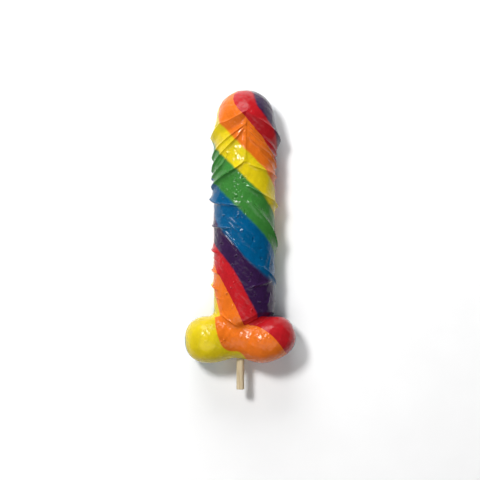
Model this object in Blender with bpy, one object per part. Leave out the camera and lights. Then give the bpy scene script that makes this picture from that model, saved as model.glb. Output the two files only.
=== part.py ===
"""A novelty lollipop: one moulded hard candy on a round wooden stick, lying on its back.

The candy is a shaft with a flared head at the +Y end and a two-lobed base at the -Y end.
The stick leaves the base along -Y. The finer side looks up, along +Z, and the back rests on
the plane Z = 0. Sizes in the first part are in millimetres and degrees.
"""
import math

import bmesh
import bpy
import numpy as np
from mathutils import Vector

MM = 0.001
TINY = 1e-5
QUARTER_TURN = 90.0
HALF_TURN = 180.0

# The forms were read from straight above, at this distance from the plane at READ_Z
EYE_DISTANCE = 760.0
READ_Z = 15.0

# Shaft
MID_Z = 13.8
SHAFT_X = 2.5
SHAFT_HALF_WIDTH = 17.4
SHAFT_HALF_DEPTH = 15.0
SHAFT_TOP_INSET = 0.8
SHAFT_TOP_ROUNDING = 1.0
SHAFT_FOOT_Y = -43.0
SHAFT_FOOT_LENGTH = 12.5

# Crease where the shaft meets the base
CREASE_X = -1.1
CREASE_LOW_Y = -50.2
CREASE_SIDE_Y = -43.7
CREASE_LEFT_SLOPE = 0.74
CREASE_RIGHT_SLOPE = 0.56
CREASE_BEND = 1.5
CREASE_LEFT_DROP = 0.1
CREASE_RIGHT_DROP = 2.2
CREASE_FADE = 4.0
CREASE_ABOVE = 3.2
CREASE_BELOW = 0.8
CREASE_BACK = 8.0

# Head
HEAD_X = 3.2
HEAD_HALF_WIDTH = 16.5
HEAD_HALF_DEPTH = 16.4
DOME_LENGTH = 16.2
DOME_FOOT_Y = 69.2
FLARE_LENGTH = 12.5
FLARE_FRONT = 1.1
FLARE_SIDE = 3.5
FLARE_BACK = 2.4
FLARE_BEND = 1.4

# Rim of the head
RIM_FRONT_Y = 73.6
RIM_LEFT_Y = 57.6
RIM_RIGHT_Y = 56.2
RIM_BACK_Y = 51.0
RIM_LEFT_BEND = 0.90
RIM_RIGHT_BEND = 0.92
RIM_LEFT_LIFT = 1.7
RIM_LIFT_ANGLE = -49.0
RIM_LIFT_WIDTH = 12.0
RIM_BAND_FRONT = 3.7
RIM_BAND_SIDE = 7.2
RIM_STEP_FRONT = 1.9
RIM_STEP_SIDE = 3.2
RIM_ROUNDING = 0.50
NECK_ROUNDING = 0.4

# Base lobes: centre, half sizes and turn about Z
LEFT_LOBE = ((-17.5, -56.7, 14.4), (13.9, 13.3, 15.0), 0.0)
RIGHT_LOBE = ((16.1, -56.5, 15.0), (15.8, 12.4, 15.6), 22.0)
MIDDLE_LOBE = ((-1.0, -55.6, 13.8), (15.0, 11.6, 13.0), 0.0)
LOBE_POWER = 2.35
LOBE_BLEND = 5.0
SHAFT_BLEND_LEFT = 3.6
SHAFT_BLEND_RIGHT = 1.6

# Flat spot of the back
REST_ROUNDING = 1.2

# Folds round the shaft: start angle, start Y, end angle, end Y, bend, rise, reach up, reach down.
# The angle is measured round the shaft from its front middle line, positive toward +X.
# A fold swells slowly from above and drops quickly below.
FOLDS = (
    (2.0, 66.7, -96.0, 44.6, 0.93, 0.9, 1.6, 0.6),
    (-3.0, 63.6, -98.0, 37.0, 0.80, 1.1, 2.0, 0.6),
    (-34.0, 50.0, -98.0, 33.5, 0.45, 1.2, 2.2, 0.7),
    (-2.0, 44.9, -86.0, 29.0, 0.82, 1.6, 2.4, 0.6),
    (-98.0, 24.6, -50.0, 20.6, 0.80, 1.9, 3.4, 0.7),
    (-98.0, 24.2, -10.0, 19.6, 0.60, 0.7, 0.9, 0.5),
    (-98.0, 8.4, -30.0, 6.9, 1.00, 1.0, 1.3, 0.6),
    (-98.0, -4.9, -64.0, -7.0, 1.00, 1.2, 1.7, 0.9),
    (-98.0, -16.2, -58.0, -19.0, 1.00, 1.1, 1.7, 1.0),
    (-98.0, -24.6, -62.0, -28.0, 1.00, 1.2, 1.8, 1.1),
    (5.0, 67.5, 96.0, 47.0, 0.75, 0.9, 1.5, 0.6),
    (6.0, 63.6, 96.0, 42.0, 0.85, 0.6, 1.0, 0.5),
    (9.0, 59.0, 96.0, 40.0, 0.83, 0.9, 1.5, 0.5),
    (12.0, 43.0, 98.0, 34.6, 0.90, 0.9, 1.8, 0.6),
    (10.0, 30.5, 98.0, 17.8, 0.80, 1.5, 3.2, 0.8),
    (13.0, 21.7, 98.0, -6.2, 0.90, 1.3, 1.0, 1.6),
    (28.0, -14.4, 98.0, -26.6, 1.00, 0.7, 1.8, 0.6),
    (10.0, -27.4, 60.0, -23.4, 0.80, 0.65, 1.8, 0.6),
    (40.0, -36.0, 98.0, -35.0, 1.00, 0.4, 1.6, 1.6),
)
FOLD_FADE = 11.0
FOLD_OVERRUN = 1.1
FOLD_ROUNDING = 0.6
FOLD_OVERLAP = 0.25

# Middle ridge below the point of the rim
RIDGE_TOP_Y = 71.5
RIDGE_END_Y = 48.0
RIDGE_RISE = 0.8
RIDGE_HALF_WIDTH = 0.9
RIDGE_FADE = 6.0

# Stick
STICK_X = 0.2
STICK_Z = 13.8
STICK_RADIUS = 2.25
STICK_FOOT_Y = -85.2
STICK_TOP_Y = -22.0
STICK_EDGE = 0.35
STICK_SIDES = 32
STICK_GAP = 0.3
SOCKET_MOUTH_Y = -75.0

# Materials
CANDY_COLOUR = (0.78, 0.30, 0.04)
CANDY_ROUGHNESS = 0.15
WOOD_COLOUR = (0.62, 0.50, 0.33)
WOOD_ROUGHNESS = 0.6

# First rough shapes, before the skin is worked out
ROUGH_HEAD_RADII = (19.0, 17.5, 16.4)
OVAL_SEGMENTS = 48

# Mesh density
ROUGH_STEP = 1.6
FINE_STEP = 0.95
CANDY_TRIANGLES = 10200
SETTLE_ROUNDS = 10
EVENING_ROUNDS = 6
EVENING_SHARE = 0.5
GRADIENT_STEP = 0.01
SMALLEST_SLOPE = 0.05
LARGEST_MOVE = 1.2
FLAT_SNAP = 0.03
MERGE_DISTANCE = 0.004


def seen(points):
    """X and Y as read in the view from above, where what stands nearer looks larger."""
    x, y, z = points.T
    scale = 1.0 - (z - READ_Z) / EYE_DISTANCE
    return x / scale, y / scale


def soft_min(first, second, reach):
    """Smaller of two fields, with a rounded inner corner."""
    share = np.clip(0.5 + 0.5 * (second - first) / reach, 0.0, 1.0)
    return second * (1.0 - share) + first * share - reach * share * (1.0 - share)


def soft_max(first, second, reach):
    """Larger of two fields, with a rounded outer corner."""
    return -soft_min(-first, -second, reach)


def oval_gap(offset, radii, power=2.0):
    """Near distance from an oval skin centred on zero, negative inside; a high power is boxier."""
    scaled = np.abs(offset / radii)
    length = (scaled ** power).sum(axis=1) ** (1.0 / power)
    slope = np.sqrt(((scaled ** (power - 1.0) / radii) ** 2).sum(axis=1))
    return length ** (power - 1.0) * (length - 1.0) / np.maximum(slope, TINY)


def smooth_step(low, high, value):
    """Share that climbs from 0 at low to 1 at high."""
    share = np.clip((value - low) / (high - low), 0.0, 1.0)
    return share * share * (3.0 - 2.0 * share)


def angle_round(x, z, middle_x):
    """Angle in degrees round the long axis, zero at the front and positive toward +X."""
    return np.degrees(np.arctan2((x - middle_x) / SHAFT_HALF_WIDTH, (z - MID_Z) / SHAFT_HALF_DEPTH))


def front_angle(angle):
    """The same angle with the back half folded onto the front half."""
    folded = np.sign(angle) * (HALF_TURN - np.abs(angle))
    return np.where(np.abs(angle) > QUARTER_TURN, folded, angle)


def round_value(angle, front, side, back, bend):
    """Value that runs from front through side to back with the angle."""
    turn = np.abs(angle)
    near = front + (side - front) * np.clip(turn / QUARTER_TURN, 0.0, 1.0) ** bend
    far = side + (back - side) * smooth_step(QUARTER_TURN, HALF_TURN, turn)
    return np.where(turn <= QUARTER_TURN, near, far)


def one_fold(angle, height, fold):
    """Rise of one fold at the given angles and heights, gentle above its crest and steep below."""
    start_angle, start_y, end_angle, end_y, bend, rise, reach_up, reach_down = fold
    turn = (angle - start_angle) / (end_angle - start_angle)
    middle = start_y + (end_y - start_y) * np.clip(turn, 0.0, FOLD_OVERRUN) ** bend
    arc = math.radians(abs(end_angle - start_angle)) * SHAFT_HALF_WIDTH
    lean = math.cos(math.atan2(abs(end_y - start_y), arc))
    low, high = min(start_angle, end_angle), max(start_angle, end_angle)
    inside = smooth_step(low - FOLD_FADE, low + FOLD_FADE, angle)
    inside = inside * (1.0 - smooth_step(high - FOLD_FADE, high + FOLD_FADE, angle))
    away = (height - middle) * lean
    rounded = np.hypot(away, FOLD_ROUNDING) - FOLD_ROUNDING
    swell = np.exp(-rounded / np.where(away > 0.0, reach_up, reach_down))
    return rise * inside * swell


def shaft_relief(points):
    """Rise of the shaft skin from its folds and its middle ridge."""
    x, _, z = points.T
    _, y = seen(points)
    angle = front_angle(angle_round(x, z, SHAFT_X))
    rise = np.zeros(len(points))
    for fold in FOLDS:
        added = one_fold(angle, y, fold)
        rise = np.maximum(rise, added) + FOLD_OVERLAP * np.minimum(rise, added)
    along = smooth_step(RIDGE_END_Y - RIDGE_FADE, RIDGE_END_Y + RIDGE_FADE, y)
    along = along * (1.0 - smooth_step(RIDGE_TOP_Y, RIDGE_TOP_Y + RIDGE_FADE, y))
    ridge = RIDGE_RISE * along * np.exp(-np.abs(x - HEAD_X) / RIDGE_HALF_WIDTH)
    return rise + np.where(z > MID_Z, ridge, 0.0)


def rim_height(x, z):
    """Height along Y of the rim of the head at its angle, and that angle."""
    angle = angle_round(x, z, HEAD_X)
    left = round_value(angle, RIM_FRONT_Y, RIM_LEFT_Y, RIM_BACK_Y, RIM_LEFT_BEND)
    right = round_value(angle, RIM_FRONT_Y, RIM_RIGHT_Y, RIM_BACK_Y, RIM_RIGHT_BEND)
    left = left + RIM_LEFT_LIFT * np.exp(-(((angle - RIM_LIFT_ANGLE) / RIM_LIFT_WIDTH) ** 2))
    return np.where(angle < 0.0, left, right), angle


def crease_height(x):
    """Height along Y of the crease where the shaft meets the base, lowest near the middle."""
    away = x - CREASE_X
    climb = np.hypot(away, CREASE_BEND) - CREASE_BEND
    slope = np.where(away < 0.0, CREASE_LEFT_SLOPE, CREASE_RIGHT_SLOPE)
    return np.minimum(CREASE_LOW_Y + slope * climb, CREASE_SIDE_Y)


def left_to_right(x, left, right):
    """Value that changes from left to right across the lowest point of the crease."""
    return left + (right - left) * smooth_step(-CREASE_FADE, CREASE_FADE, x - CREASE_X)


def shaft_gap(points):
    """Near distance from the shaft, which ends under the rim of the head and at the base."""
    x, y, z = points.T
    _, seen_y = seen(points)
    offset = np.column_stack((x - SHAFT_X, np.minimum(y - SHAFT_FOOT_Y, 0.0), z - MID_Z))
    body = oval_gap(offset, np.array((SHAFT_HALF_WIDTH, SHAFT_FOOT_LENGTH, SHAFT_HALF_DEPTH)))
    drop = left_to_right(x, CREASE_LEFT_DROP, CREASE_RIGHT_DROP)
    drop = drop * smooth_step(CREASE_ABOVE, -CREASE_BELOW, seen_y - crease_height(x))
    drop = drop * smooth_step(MID_Z - CREASE_BACK, MID_Z, z)
    rim_y, _ = rim_height(x, z)
    return soft_max(
        body + drop - shaft_relief(points), seen_y - rim_y + SHAFT_TOP_INSET, SHAFT_TOP_ROUNDING
    )


def head_gap(points):
    """Near distance from the flared head, whose underside is a slanted band."""
    x, y, z = points.T
    offset = np.column_stack((x - HEAD_X, np.maximum(y - DOME_FOOT_Y, 0.0), z - MID_Z))
    dome = oval_gap(offset, np.array((HEAD_HALF_WIDTH, DOME_LENGTH, HEAD_HALF_DEPTH)))
    rim_y, angle = rim_height(x, z)
    _, seen_y = seen(points)
    above_rim = seen_y - rim_y
    flare = round_value(angle, FLARE_FRONT, FLARE_SIDE, FLARE_BACK, 1.0)
    above = np.clip(1.0 - above_rim / FLARE_LENGTH, 0.0, 1.0)
    skin = dome - flare * above ** FLARE_BEND
    band = round_value(angle, RIM_BAND_FRONT, RIM_BAND_SIDE, RIM_BAND_SIDE, 1.0)
    step = round_value(angle, RIM_STEP_FRONT, RIM_STEP_SIDE, RIM_STEP_SIDE, 1.0)
    under = (skin * band - above_rim * step) / np.sqrt(band ** 2 + step ** 2)
    return soft_max(skin, under, RIM_ROUNDING)


def lobe_gap(points, lobe):
    """Near distance from one oval lobe."""
    centre, radii, turn = lobe
    offset = points - np.array(centre)
    cos_turn = math.cos(math.radians(turn))
    sin_turn = math.sin(math.radians(turn))
    turned = np.column_stack((
        offset[:, 0] * cos_turn + offset[:, 1] * sin_turn,
        offset[:, 1] * cos_turn - offset[:, 0] * sin_turn,
        offset[:, 2],
    ))
    return oval_gap(turned, np.array(radii), LOBE_POWER)


def lobes_gap(points):
    """Near distance from the whole base."""
    lobes = soft_min(lobe_gap(points, LEFT_LOBE), lobe_gap(points, RIGHT_LOBE), LOBE_BLEND)
    return soft_min(lobes, lobe_gap(points, MIDDLE_LOBE), LOBE_BLEND)


def upper_gap(points):
    """Near distance from the head and the shaft together."""
    return soft_min(head_gap(points), shaft_gap(points), NECK_ROUNDING)


def candy_gap(points):
    """Near distance from the whole candy skin in millimetres, negative inside."""
    blend = left_to_right(points[:, 0], SHAFT_BLEND_LEFT, SHAFT_BLEND_RIGHT)
    whole = soft_min(upper_gap(points), lobes_gap(points), blend)
    return soft_max(whole, -points[:, 2], REST_ROUNDING)


def gap_and_gradient(points):
    """Field and its slope by small differences."""
    gap = candy_gap(points)
    slope = np.zeros_like(points)
    for axis in range(3):
        shift = np.zeros(3)
        shift[axis] = GRADIENT_STEP
        slope[:, axis] = (candy_gap(points + shift) - gap) / GRADIENT_STEP
    return gap, slope


def settle(points, edges, rounds):
    """Move points onto the candy skin, evening out their spacing on the way."""
    count = len(points)
    ends = np.concatenate((edges[:, 0], edges[:, 1]))
    others = np.concatenate((edges[:, 1], edges[:, 0]))
    valence = np.maximum(np.bincount(ends, minlength=count), 1)
    for turn in range(rounds):
        gap, slope = gap_and_gradient(points)
        size = np.maximum((slope * slope).sum(axis=1), SMALLEST_SLOPE)
        move = -(gap / size)[:, None] * slope
        length = np.maximum(np.linalg.norm(move, axis=1), TINY)
        points = points + move * np.minimum(1.0, LARGEST_MOVE / length)[:, None]
        if turn < EVENING_ROUNDS:
            mean = np.column_stack([
                np.bincount(ends, weights=points[others, axis], minlength=count) / valence
                for axis in range(3)
            ])
            normal = slope / np.sqrt(size)[:, None]
            drift = mean - points
            drift = drift - (drift * normal).sum(axis=1)[:, None] * normal
            points = points + EVENING_SHARE * drift
    points[:, 2] = np.where(points[:, 2] < FLAT_SNAP, 0.0, points[:, 2])
    return points


def add_oval(target, centre, radii, stretch=0.0):
    """Add a closed oval to a bmesh, pulled apart along Y by stretch."""
    made = bmesh.ops.create_uvsphere(
        target, u_segments=OVAL_SEGMENTS, v_segments=OVAL_SEGMENTS // 2, radius=1.0
    )
    for vertex in made["verts"]:
        along = stretch if vertex.co.y > 0.0 else -stretch
        vertex.co = Vector((
            centre[0] + vertex.co.x * radii[0],
            centre[1] + vertex.co.y * radii[1] + along,
            centre[2] + vertex.co.z * radii[2],
        )) * MM


def new_object(name, mesh):
    """Link a mesh to the scene as an object."""
    made = bpy.data.objects.new(name, mesh)
    bpy.context.scene.collection.objects.link(made)
    return made


def baked(source, name):
    """Mesh of an object with its modifiers worked in; the object is taken away."""
    graph = bpy.context.evaluated_depsgraph_get()
    graph.update()
    mesh = bpy.data.meshes.new_from_object(source.evaluated_get(graph), depsgraph=graph)
    mesh.name = name
    bpy.data.objects.remove(source, do_unlink=True)
    return mesh


def remeshed(mesh, step):
    """Mesh rebuilt in even squares of the given size."""
    helper = new_object("helper", mesh)
    modifier = helper.modifiers.new("even squares", "REMESH")
    modifier.mode = "VOXEL"
    modifier.voxel_size = step * MM
    return baked(helper, "even")


def settled(mesh, rounds):
    """Move the points of a mesh onto the candy skin."""
    count = len(mesh.vertices)
    flat = np.empty(count * 3)
    mesh.vertices.foreach_get("co", flat)
    edges = np.empty(len(mesh.edges) * 2, dtype=np.int64)
    mesh.edges.foreach_get("vertices", edges)
    points = settle(flat.reshape(-1, 3) / MM, edges.reshape(-1, 2), rounds)
    mesh.vertices.foreach_set("co", (points * MM).ravel())
    mesh.update()
    return mesh


def rough_candy():
    """Plain ovals in the places of the shaft, the head and the lobes."""
    target = bmesh.new()
    foot_y = SHAFT_FOOT_Y - SHAFT_FOOT_LENGTH
    half_length = (RIM_LEFT_Y - foot_y) / 2.0
    middle_y = (RIM_LEFT_Y + foot_y) / 2.0
    add_oval(
        target,
        (SHAFT_X, middle_y, MID_Z),
        (SHAFT_HALF_WIDTH, SHAFT_HALF_WIDTH, SHAFT_HALF_DEPTH),
        half_length - SHAFT_HALF_WIDTH / 2.0,
    )
    add_oval(target, (HEAD_X, DOME_FOOT_Y, MID_Z), ROUGH_HEAD_RADII)
    for centre, radii, _ in (LEFT_LOBE, RIGHT_LOBE, MIDDLE_LOBE):
        add_oval(target, centre, radii)
    mesh = bpy.data.meshes.new("rough")
    target.to_mesh(mesh)
    target.free()
    return mesh


def thinned(mesh, triangles):
    """Mesh brought down to about the given number of triangles."""
    helper = new_object("helper", mesh)
    modifier = helper.modifiers.new("fewer faces", "DECIMATE")
    modifier.decimate_type = "COLLAPSE"
    modifier.use_collapse_triangulate = True
    modifier.ratio = min(1.0, triangles / (2.0 * len(mesh.polygons)))
    return baked(helper, "thin")


def rod_mesh(name, radius, foot_y, top_y, edge):
    """Round rod along Y with a small bevel at both ends."""
    target = bmesh.new()
    rings = (
        (foot_y, radius - edge),
        (foot_y + edge, radius),
        (top_y - edge, radius),
        (top_y, radius - edge),
    )
    loops = []
    for y, ring_radius in rings:
        loop = []
        for index in range(STICK_SIDES):
            turn = 2.0 * math.pi * index / STICK_SIDES
            across = STICK_X + ring_radius * math.cos(turn)
            height = STICK_Z + ring_radius * math.sin(turn)
            loop.append(target.verts.new(Vector((across, y, height)) * MM))
        loops.append(loop)
    for lower, upper in zip(loops, loops[1:]):
        for index in range(STICK_SIDES):
            after = (index + 1) % STICK_SIDES
            target.faces.new((lower[index], lower[after], upper[after], upper[index]))
    target.faces.new(list(reversed(loops[0])))
    target.faces.new(loops[-1])
    bmesh.ops.recalc_face_normals(target, faces=target.faces)
    mesh = bpy.data.meshes.new(name)
    target.to_mesh(mesh)
    target.free()
    return mesh


def with_socket(mesh):
    """Candy mesh with the blind round hole that holds the stick."""
    radius = STICK_RADIUS + STICK_GAP
    rod = rod_mesh("cutter", radius, SOCKET_MOUTH_Y, STICK_TOP_Y + STICK_GAP, STICK_EDGE)
    cutter = new_object("cutter", rod)
    cutter.hide_render = True
    cutter.display_type = "WIRE"
    helper = new_object("helper", mesh)
    modifier = helper.modifiers.new("socket", "BOOLEAN")
    modifier.operation = "DIFFERENCE"
    modifier.solver = "EXACT"
    modifier.object = cutter
    result = baked(helper, "candy")
    bpy.data.objects.remove(cutter, do_unlink=True)
    return result


def tidy_mesh(mesh):
    """Join doubled points and cut every face into triangles."""
    target = bmesh.new()
    target.from_mesh(mesh)
    bmesh.ops.remove_doubles(target, verts=target.verts, dist=MERGE_DISTANCE * MM)
    bmesh.ops.dissolve_degenerate(target, edges=target.edges, dist=MERGE_DISTANCE * MM)
    bmesh.ops.triangulate(target, faces=target.faces)
    bmesh.ops.recalc_face_normals(target, faces=target.faces)
    target.to_mesh(mesh)
    target.free()
    mesh.update()
    return mesh


def plain_material(name, colour, roughness):
    """Shiny or dull material of one colour."""
    made = bpy.data.materials.new(name)
    made.use_nodes = True
    shader = made.node_tree.nodes["Principled BSDF"]
    shader.inputs["Base Color"].default_value = (*colour, 1.0)
    shader.inputs["Roughness"].default_value = roughness
    shader.inputs["Metallic"].default_value = 0.0
    return made


def finish(mesh, name, material):
    """Named object with smooth shading and one material."""
    mesh.polygons.foreach_set("use_smooth", np.ones(len(mesh.polygons), dtype=bool))
    mesh.materials.clear()
    mesh.materials.append(material)
    mesh.name = name
    return new_object(name, mesh)


for old in list(bpy.data.objects):
    bpy.data.objects.remove(old, do_unlink=True)

coarse_mesh = settled(remeshed(rough_candy(), ROUGH_STEP), SETTLE_ROUNDS)
fine_mesh = settled(remeshed(coarse_mesh, FINE_STEP), SETTLE_ROUNDS)
candy_mesh = tidy_mesh(with_socket(thinned(fine_mesh, CANDY_TRIANGLES)))
stick_mesh = tidy_mesh(rod_mesh("stick", STICK_RADIUS, STICK_FOOT_Y, STICK_TOP_Y, STICK_EDGE))

finish(candy_mesh, "candy", plain_material("orange hard candy", CANDY_COLOUR, CANDY_ROUGHNESS))
finish(stick_mesh, "stick", plain_material("pale wood", WOOD_COLOUR, WOOD_ROUGHNESS))
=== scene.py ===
"""A rainbow striped novelty lollipop of hard candy on a wooden stick, lying on a pale table.

The candy's skin is worked out as a field, in millimetres, from the same sizes as the solid,
with finer folds, bumps and waves. Its stripes follow a twist round the long axis.
"""
import math

import bmesh
import bpy
import numpy as np
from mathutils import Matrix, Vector


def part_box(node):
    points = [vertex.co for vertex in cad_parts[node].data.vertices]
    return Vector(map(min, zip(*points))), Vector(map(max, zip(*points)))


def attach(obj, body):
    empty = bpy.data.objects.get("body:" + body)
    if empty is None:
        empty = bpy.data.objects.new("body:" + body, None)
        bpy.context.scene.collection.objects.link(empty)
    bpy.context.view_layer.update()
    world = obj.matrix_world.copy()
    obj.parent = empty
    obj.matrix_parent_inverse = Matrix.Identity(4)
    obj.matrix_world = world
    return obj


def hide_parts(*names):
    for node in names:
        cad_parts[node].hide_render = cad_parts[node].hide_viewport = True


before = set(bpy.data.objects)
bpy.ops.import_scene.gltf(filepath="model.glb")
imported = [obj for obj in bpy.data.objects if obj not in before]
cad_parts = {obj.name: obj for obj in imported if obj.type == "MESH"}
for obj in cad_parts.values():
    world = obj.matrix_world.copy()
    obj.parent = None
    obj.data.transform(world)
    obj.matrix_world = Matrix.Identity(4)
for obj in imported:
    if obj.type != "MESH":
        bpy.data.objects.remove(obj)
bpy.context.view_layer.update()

MM = 0.001
TINY = 1e-5
QUARTER_TURN = 90.0
HALF_TURN = 180.0
FULL_CIRCLE = 2.0 * math.pi
PIXEL = 0.57
PHOTO_MIDDLE = 240.0
EYE_DISTANCE = 760.0

# Shaft
MID_Z = 13.8
SHAFT_X = 2.5
SHAFT_HALF_WIDTH = 17.4
SHAFT_HALF_DEPTH = 15.0
SHAFT_TOP_INSET = 0.8
SHAFT_TOP_ROUNDING = 1.0
SHAFT_FOOT_Y = -43.0
SHAFT_FOOT_LENGTH = 12.5

# Crease where the shaft meets the base
CREASE_X = -1.1
CREASE_LOW_Y = -50.2
CREASE_SIDE_Y = -43.7
CREASE_LEFT_SLOPE = 0.74
CREASE_RIGHT_SLOPE = 0.56
CREASE_BEND = 1.5
CREASE_LEFT_DROP = 0.1
CREASE_RIGHT_DROP = 2.2
CREASE_FADE = 4.0
CREASE_ABOVE = 3.2
CREASE_BELOW = 0.8
CREASE_BACK = 8.0

# Head
HEAD_X = 3.2
HEAD_HALF_WIDTH = 16.5
HEAD_HALF_DEPTH = 16.4
DOME_LENGTH = 16.2
DOME_FOOT_Y = 69.2
FLARE_LENGTH = 12.5
FLARE_FRONT = 1.1
FLARE_SIDE = 3.5
FLARE_BACK = 2.4
FLARE_BEND = 1.4

# Rim of the head
RIM_FRONT_Y = 73.6
RIM_LEFT_Y = 57.6
RIM_RIGHT_Y = 56.2
RIM_BACK_Y = 51.0
RIM_LEFT_BEND = 0.90
RIM_RIGHT_BEND = 0.92
RIM_LEFT_LIFT = 1.7
RIM_LIFT_ANGLE = -49.0
RIM_LIFT_WIDTH = 12.0
RIM_BAND_FRONT = 3.7
RIM_BAND_SIDE = 7.2
RIM_STEP_FRONT = 1.9
RIM_STEP_SIDE = 3.2
RIM_ROUNDING = 0.50
RIM_BEAD = 0.34
RIM_BEAD_WIDTH = 0.50
RIM_BEAD_ABOVE = 0.45
NECK_ROUNDING = 0.4

# Base lobes: centre, half sizes and turn about Z
LEFT_LOBE = ((-17.5, -56.7, 14.4), (13.9, 13.3, 15.0), 0.0)
RIGHT_LOBE = ((16.1, -56.5, 15.0), (15.8, 12.4, 15.6), 22.0)
MIDDLE_LOBE = ((-1.0, -55.6, 13.8), (15.0, 11.6, 13.0), 0.0)
LOBE_POWER = 2.35
LOBE_BLEND = 5.0
SHAFT_BLEND_LEFT = 3.6
SHAFT_BLEND_RIGHT = 1.6
REST_ROUNDING = 1.2

# Folds round the shaft: start angle, start Y, end angle, end Y, bend, rise, reach up, reach down
FOLDS = (
    (2.0, 66.7, -96.0, 44.6, 0.93, 0.9, 1.6, 0.6),
    (-3.0, 63.6, -98.0, 37.0, 0.80, 1.1, 2.0, 0.6),
    (-34.0, 50.0, -98.0, 33.5, 0.45, 1.2, 2.2, 0.7),
    (-2.0, 44.9, -86.0, 29.0, 0.82, 1.6, 2.4, 0.6),
    (-98.0, 24.6, -50.0, 20.6, 0.80, 1.9, 3.4, 0.7),
    (-98.0, 24.2, -10.0, 19.6, 0.60, 0.7, 0.9, 0.5),
    (-98.0, 8.4, -30.0, 6.9, 1.00, 1.0, 1.3, 0.6),
    (-98.0, -4.9, -64.0, -7.0, 1.00, 1.2, 1.7, 0.9),
    (-98.0, -16.2, -58.0, -19.0, 1.00, 1.1, 1.7, 1.0),
    (-98.0, -24.6, -62.0, -28.0, 1.00, 1.2, 1.8, 1.1),
    (5.0, 67.5, 96.0, 47.0, 0.75, 0.9, 1.5, 0.6),
    (6.0, 63.6, 96.0, 42.0, 0.85, 0.6, 1.0, 0.5),
    (9.0, 59.0, 96.0, 40.0, 0.83, 0.9, 1.5, 0.5),
    (12.0, 43.0, 98.0, 34.6, 0.90, 0.9, 1.8, 0.6),
    (10.0, 30.5, 98.0, 17.8, 0.80, 1.5, 3.2, 0.8),
    (13.0, 21.7, 98.0, -6.2, 0.90, 1.3, 1.0, 1.6),
    (28.0, -14.4, 98.0, -26.6, 1.00, 0.7, 1.8, 0.6),
    (10.0, -27.4, 60.0, -23.4, 0.80, 0.65, 1.8, 0.6),
    (40.0, -36.0, 98.0, -35.0, 1.00, 0.4, 1.6, 1.6),
)
# Thin wrinkles, in the same terms
WRINKLES = (
    (-33.0, 13.2, -11.0, 8.2, 1.00, 0.40, 0.45, 0.45),
    (-32.0, 10.4, -9.0, 4.2, 1.00, 0.40, 0.45, 0.45),
    (-48.6, 4.8, -2.0, -11.6, 1.35, 0.40, 0.40, 0.40),
    (-46.0, 6.4, 0.0, -9.6, 1.35, 0.32, 0.40, 0.40),
    (20.0, 21.5, 60.0, 5.0, 1.00, 0.25, 0.55, 0.55),
    (22.0, 44.5, 66.0, 36.5, 1.00, 0.25, 0.55, 0.55),
    (-20.0, 56.0, -60.0, 42.0, 1.00, 0.25, 0.60, 0.60),
    (25.0, 52.0, 70.0, 40.0, 1.00, 0.25, 0.60, 0.60),
    (57.0, -10.5, 50.0, -16.5, 1.00, 0.30, 0.45, 0.45),
    (56.0, -31.0, 46.0, -37.0, 1.00, 0.35, 0.45, 0.45),
    (-86.0, -10.0, -60.0, -12.0, 1.00, 0.25, 0.55, 0.55),
    (-80.0, -31.0, -50.0, -34.0, 1.00, 0.25, 0.60, 0.60),
    (-46.0, -42.6, -14.0, -49.2, 0.90, 0.50, 0.50, 0.40),
    (2.0, -48.4, 40.0, -43.0, 0.80, 0.45, 0.50, 0.40),
)
FOLD_FADE = 11.0
WRINKLE_FADE = 4.0
FOLD_OVERRUN = 1.1
FOLD_ROUNDING = 0.35
FOLD_BEAD = 0.36
FOLD_BEAD_WIDTH = 0.45
FOLD_OVERLAP = 0.25

# Middle ridge below the point of the rim
RIDGE_TOP_Y = 71.5
RIDGE_END_Y = 48.0
RIDGE_RISE = 0.8
RIDGE_HALF_WIDTH = 0.9
RIDGE_FADE = 6.0

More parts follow.
